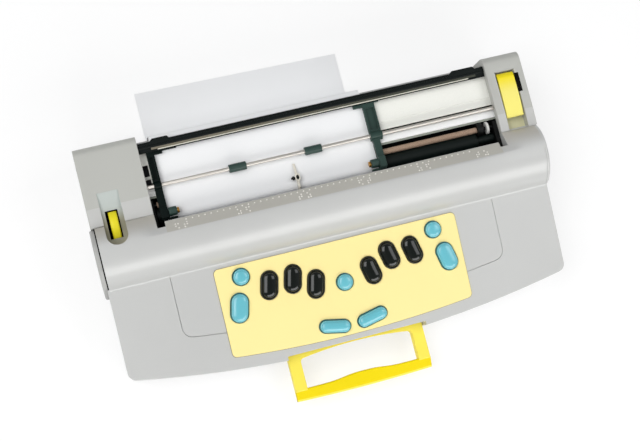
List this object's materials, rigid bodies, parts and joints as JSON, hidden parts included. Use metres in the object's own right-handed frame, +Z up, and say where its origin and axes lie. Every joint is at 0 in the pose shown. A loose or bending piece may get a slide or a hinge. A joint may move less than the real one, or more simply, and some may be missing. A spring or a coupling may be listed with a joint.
{
  "type": "braille writer",
  "caption": "Desktop braille embosser with a six-dot keyboard, rounded hood, open paper bed with a loaded sheet, sliding paper guides, hand wheel, release lever and pull-out carrying handle.",
  "frame": {"origin": "middle of the bounding box, on the table top that the feet stand on", "axes": "+X to the right of a person typing, +Y to the back, +Z up"},
  "size_m": [0.4506, 0.3372, 0.0845],
  "materials": {
    "body_grey": "fine satin",
    "cover_grey": "fine satin",
    "cheek_grey": "fine satin",
    "insert_grey": "fine satin",
    "panel_yellow": "smooth matt sheet",
    "key_black": "gloss",
    "key_blue": "semi-gloss",
    "handle_yellow": "satin",
    "wheel_yellow": "satin",
    "lever_yellow": "satin",
    "roller_dark": "matt",
    "roller_brown": "gritty",
    "bar_black": "satin",
    "felt": "felt",
    "table_white": "smooth",
    "platen_silver": "smooth",
    "rod_steel": "polished",
    "guide_black": "satin",
    "guide_grey": "satin",
    "carriage_dark": "satin",
    "finger_white": "satin",
    "belt_black": "matt",
    "motor_dark": "satin",
    "pulley_brass": "turned",
    "pulley_white": "satin",
    "frame_steel": "plated sheet",
    "board_green": "satin",
    "battery_blue": "wrapped in film",
    "part_black": "satin",
    "screw_steel": "satin",
    "foot_rubber": "matt",
    "paper": "smooth paper"
  },
  "bodies": {
    "body": {"base_tray": "body_grey", "top_casing": "body_grey", "left_end_cover": "cover_grey", "right_end_cover": "cover_grey", "left_side_cheek": "cheek_grey", "right_side_cheek": "cheek_grey", "keyboard_insert": "insert_grey", "key_panel": "panel_yellow", "keyboard_board": "board_green", "key_switches": "part_black", "feed_motor": "motor_dark", "feed_belt": "belt_black", "roller_bearings": "part_black", "rear_paper_bar": "bar_black", "bar_felt_strip": "felt", "paper_table": "table_white", "platen_strip": "platen_silver", "bail_rod": "rod_steel", "carriage_rods": "rod_steel", "carriage_belt": "belt_black", "carriage_motor": "motor_dark", "chassis_frame": "frame_steel", "main_board": "board_green", "battery_pack": "battery_blue", "speaker": "part_black", "rear_sockets": "part_black", "rubber_feet": "foot_rubber", "casing_screws": "screw_steel", "paper_sheet": "paper"},
    "dot_1_key": {"dot_1_key": "key_black"},
    "dot_2_key": {"dot_2_key": "key_black"},
    "dot_3_key": {"dot_3_key": "key_black"},
    "dot_4_key": {"dot_4_key": "key_black"},
    "dot_5_key": {"dot_5_key": "key_black"},
    "dot_6_key": {"dot_6_key": "key_black"},
    "left_round_key": {"left_round_key": "key_blue"},
    "right_round_key": {"right_round_key": "key_blue"},
    "middle_round_key": {"middle_round_key": "key_blue"},
    "left_side_key": {"left_side_key": "key_blue"},
    "right_side_key": {"right_side_key": "key_blue"},
    "left_space_key": {"left_space_key": "key_blue"},
    "right_space_key": {"right_space_key": "key_blue"},
    "handle": {"carry_handle": "handle_yellow"},
    "feed": {"feed_roller": "roller_dark", "hand_wheel": "wheel_yellow", "feed_shaft": "rod_steel", "feed_pulley": "pulley_white"},
    "motor_pulley": {"feed_motor_pulley": "pulley_brass"},
    "friction": {"friction_roller": "roller_brown"},
    "lever": {"release_lever": "lever_yellow"},
    "left_bail": {"left_bail_roller": "roller_dark"},
    "right_bail": {"right_bail_roller": "roller_dark"},
    "left_guide": {"left_paper_guide": "guide_black"},
    "right_guide": {"right_paper_guide": "guide_grey"},
    "left_pinch": {"left_pinch_roller": "roller_dark"},
    "right_pinch": {"right_pinch_roller": "roller_dark"},
    "carriage": {"embossing_carriage": "carriage_dark", "head_finger": "finger_white"},
    "drive_wheel": {"drive_pulley": "pulley_brass"},
    "idler_wheel": {"idler_pulley": "pulley_white"}
  },
  "joints": [
    {"name": "dot_1_key_press", "type": "slide", "parent": "body", "child": "dot_1_key", "axis": [0, 0.165, -0.9863], "range_m": [0, 0.0022], "stiffness_N_per_m": 250, "springref_m": -0.002},
    {"name": "dot_2_key_press", "type": "slide", "parent": "body", "child": "dot_2_key", "axis": [0, 0.165, -0.9863], "range_m": [0, 0.0022], "stiffness_N_per_m": 250, "springref_m": -0.002},
    {"name": "dot_3_key_press", "type": "slide", "parent": "body", "child": "dot_3_key", "axis": [0, 0.165, -0.9863], "range_m": [0, 0.0022], "stiffness_N_per_m": 250, "springref_m": -0.002},
    {"name": "dot_4_key_press", "type": "slide", "parent": "body", "child": "dot_4_key", "axis": [0, 0.165, -0.9863], "range_m": [0, 0.0022], "stiffness_N_per_m": 250, "springref_m": -0.002},
    {"name": "dot_5_key_press", "type": "slide", "parent": "body", "child": "dot_5_key", "axis": [0, 0.165, -0.9863], "range_m": [0, 0.0022], "stiffness_N_per_m": 250, "springref_m": -0.002},
    {"name": "dot_6_key_press", "type": "slide", "parent": "body", "child": "dot_6_key", "axis": [0, 0.165, -0.9863], "range_m": [0, 0.0022], "stiffness_N_per_m": 250, "springref_m": -0.002},
    {"name": "left_round_key_press", "type": "slide", "parent": "body", "child": "left_round_key", "axis": [0, 0.165, -0.9863], "range_m": [0, 0.0022], "stiffness_N_per_m": 250, "springref_m": -0.002},
    {"name": "right_round_key_press", "type": "slide", "parent": "body", "child": "right_round_key", "axis": [0, 0.165, -0.9863], "range_m": [0, 0.0022], "stiffness_N_per_m": 250, "springref_m": -0.002},
    {"name": "middle_round_key_press", "type": "slide", "parent": "body", "child": "middle_round_key", "axis": [0, 0.165, -0.9863], "range_m": [0, 0.0022], "stiffness_N_per_m": 250, "springref_m": -0.002},
    {"name": "left_side_key_press", "type": "slide", "parent": "body", "child": "left_side_key", "axis": [0, 0.165, -0.9863], "range_m": [0, 0.0022], "stiffness_N_per_m": 250, "springref_m": -0.002},
    {"name": "right_side_key_press", "type": "slide", "parent": "body", "child": "right_side_key", "axis": [0, 0.165, -0.9863], "range_m": [0, 0.0022], "stiffness_N_per_m": 250, "springref_m": -0.002},
    {"name": "left_space_key_press", "type": "slide", "parent": "body", "child": "left_space_key", "axis": [0, 0.165, -0.9863], "range_m": [0, 0.0022], "stiffness_N_per_m": 250, "springref_m": -0.002},
    {"name": "right_space_key_press", "type": "slide", "parent": "body", "child": "right_space_key", "axis": [0, 0.165, -0.9863], "range_m": [0, 0.0022], "stiffness_N_per_m": 250, "springref_m": -0.002},
    {"name": "handle_slide", "type": "slide", "parent": "body", "child": "handle", "axis": [0, 1, 0], "range_m": [0, 0.038]},
    {"name": "feed_spin", "type": "hinge", "parent": "body", "child": "feed", "pos_m": [0, 0.0353, 0.0555], "axis": [1, 0, 0], "continuous": true},
    {"name": "motor_pulley_spin", "type": "hinge", "parent": "body", "child": "motor_pulley", "pos_m": [-0.1766, 0.0829, 0.031], "axis": [1, 0, 0], "continuous": true},
    {"name": "friction_roller_spin", "type": "hinge", "parent": "body", "child": "friction", "pos_m": [0, 0.0453, 0.0606], "axis": [1, 0, 0], "continuous": true},
    {"name": "left_bail_spin", "type": "hinge", "parent": "body", "child": "left_bail", "pos_m": [-0.0755, 0.0622, 0.0686], "axis": [1, 0, 0], "continuous": true},
    {"name": "right_bail_spin", "type": "hinge", "parent": "body", "child": "right_bail", "pos_m": [-0.0005, 0.0622, 0.0686], "axis": [1, 0, 0], "continuous": true},
    {"name": "lever_lift", "type": "hinge", "parent": "body", "child": "lever", "pos_m": [0.2043, 0.0897, 0.0674], "axis": [-1, 0, 0], "range_deg": [0, 55]},
    {"name": "left_guide_slide", "type": "slide", "parent": "body", "child": "left_guide", "axis": [1, 0, 0], "range_m": [-0.006, 0]},
    {"name": "right_guide_slide", "type": "slide", "parent": "body", "child": "right_guide", "axis": [1, 0, 0], "range_m": [0, 0.097]},
    {"name": "left_pinch_spin", "type": "hinge", "parent": "left_guide", "child": "left_pinch", "pos_m": [-0.145, 0.0353, 0.0689], "axis": [1, 0, 0], "continuous": true},
    {"name": "right_pinch_spin", "type": "hinge", "parent": "right_guide", "child": "right_pinch", "pos_m": [0.055, 0.0353, 0.0689], "axis": [1, 0, 0], "continuous": true},
    {"name": "carriage_slide", "type": "slide", "parent": "body", "child": "carriage", "axis": [1, 0, 0], "range_m": [-0.105, 0.062]},
    {"name": "drive_wheel_spin", "type": "hinge", "parent": "body", "child": "drive_wheel", "pos_m": [0.168, -0.0091, 0.03], "axis": [0, 1, 0], "range_deg": [-930, 550]},
    {"name": "idler_wheel_spin", "type": "hinge", "parent": "body", "child": "idler_wheel", "pos_m": [-0.158, -0.0091, 0.03], "axis": [0, 1, 0], "range_deg": [-930, 550]}
  ],
  "couplings": [
    {"joint": "motor_pulley_spin", "follows": "feed_spin", "ratio": 2.2727},
    {"joint": "friction_roller_spin", "follows": "feed_spin", "ratio": 2.7586},
    {"joint": "left_bail_spin", "follows": "feed_spin", "ratio": -2},
    {"joint": "right_bail_spin", "follows": "feed_spin", "ratio": -2},
    {"joint": "left_pinch_spin", "follows": "feed_spin", "ratio": -1.8605},
    {"joint": "right_pinch_spin", "follows": "feed_spin", "ratio": -1.8605},
    {"joint": "drive_wheel_spin", "follows": "carriage_slide", "rad_per_m": 153.85},
    {"joint": "idler_wheel_spin", "follows": "carriage_slide", "rad_per_m": 153.85}
  ]
}
